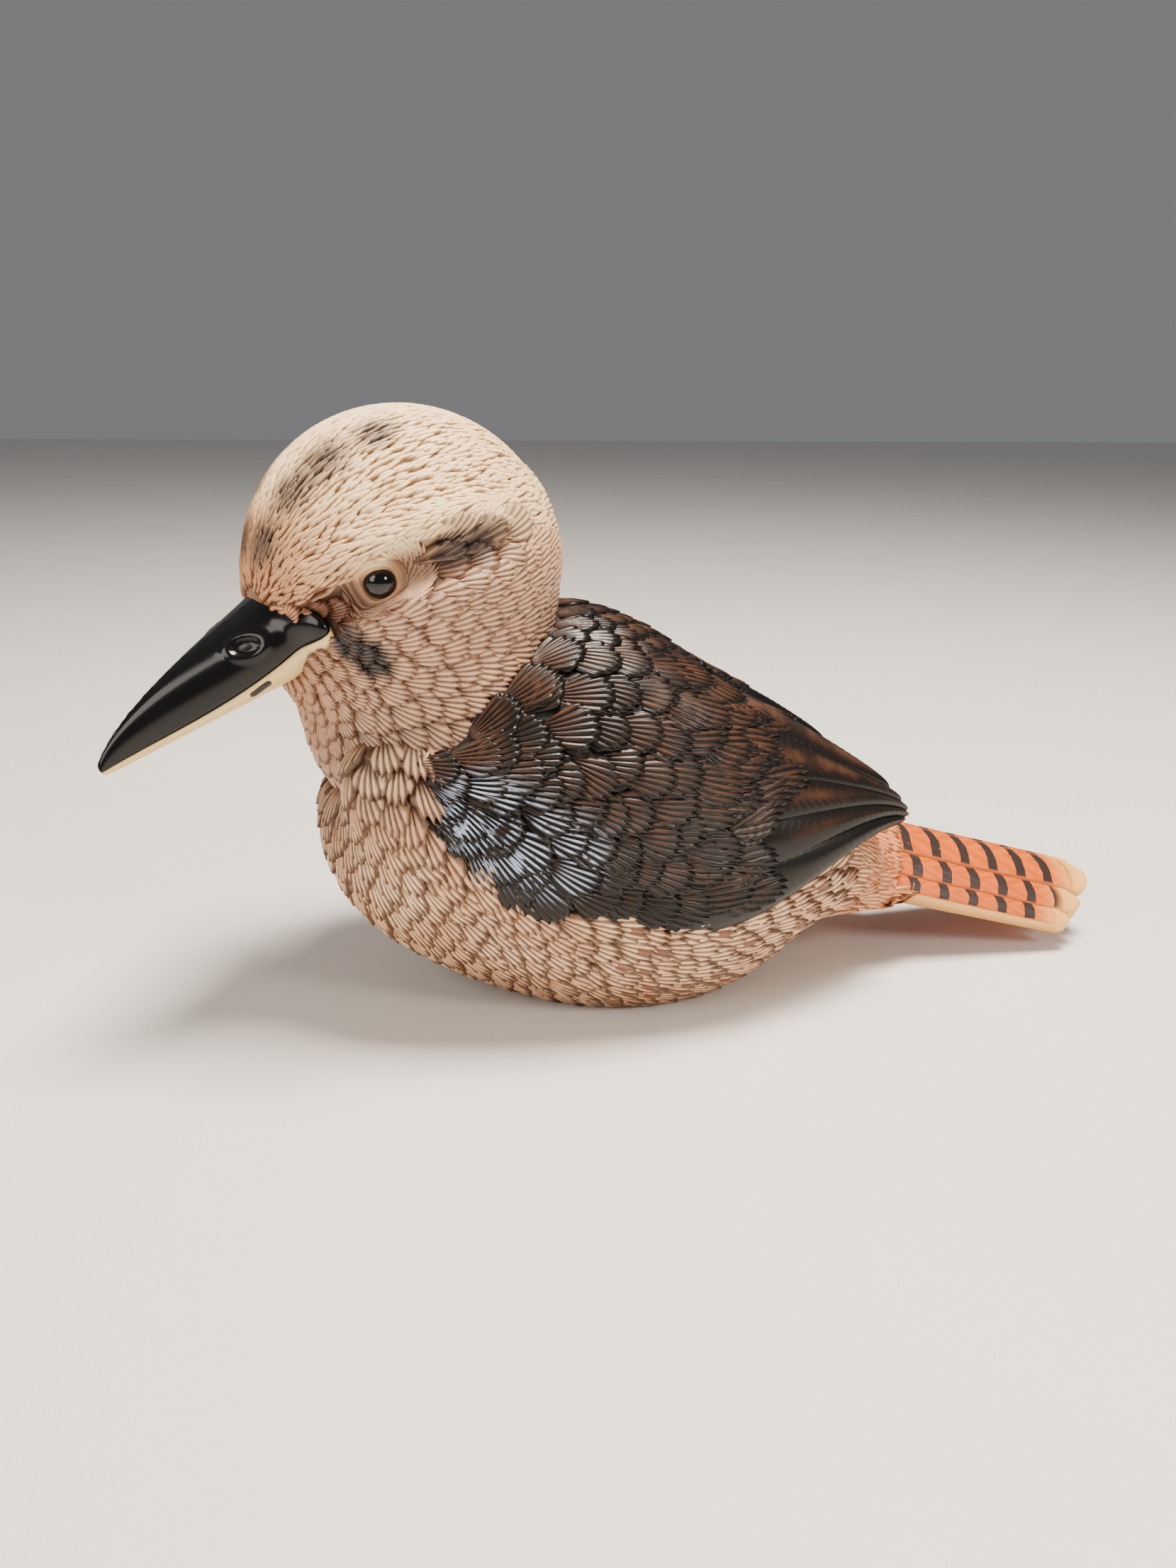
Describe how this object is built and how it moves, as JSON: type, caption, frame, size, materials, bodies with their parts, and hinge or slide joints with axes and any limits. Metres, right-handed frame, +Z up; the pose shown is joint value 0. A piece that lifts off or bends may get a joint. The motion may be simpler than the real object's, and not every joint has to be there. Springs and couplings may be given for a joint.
{
  "type": "kookaburra figurine",
  "caption": "Painted cast resin figure of a sitting kingfisher-like bird with a heavy bill, flat belly and barred tail.",
  "frame": {"origin": "on the table, under the middle of the figure's bounding box", "axes": "+Z up, +X from bill to tail, -Y towards the bird's left side"},
  "size_m": [0.2387, 0.0868, 0.1332],
  "materials": {
    "breast_paint": "satin",
    "head_paint": "satin",
    "bill_black": "gloss",
    "bill_cream": "satin",
    "eye_gloss": "gloss",
    "wing_paint": "satin",
    "tail_paint": "satin"
  },
  "bodies": {
    "root": {"torso": "breast_paint", "neck": "head_paint", "head": "head_paint", "bill_upper": "bill_black", "bill_lower": "bill_cream", "eye_left": "eye_gloss", "eye_right": "eye_gloss", "wing_left": "wing_paint", "wing_right": "wing_paint", "tail": "tail_paint"}
  },
  "joints": []
}
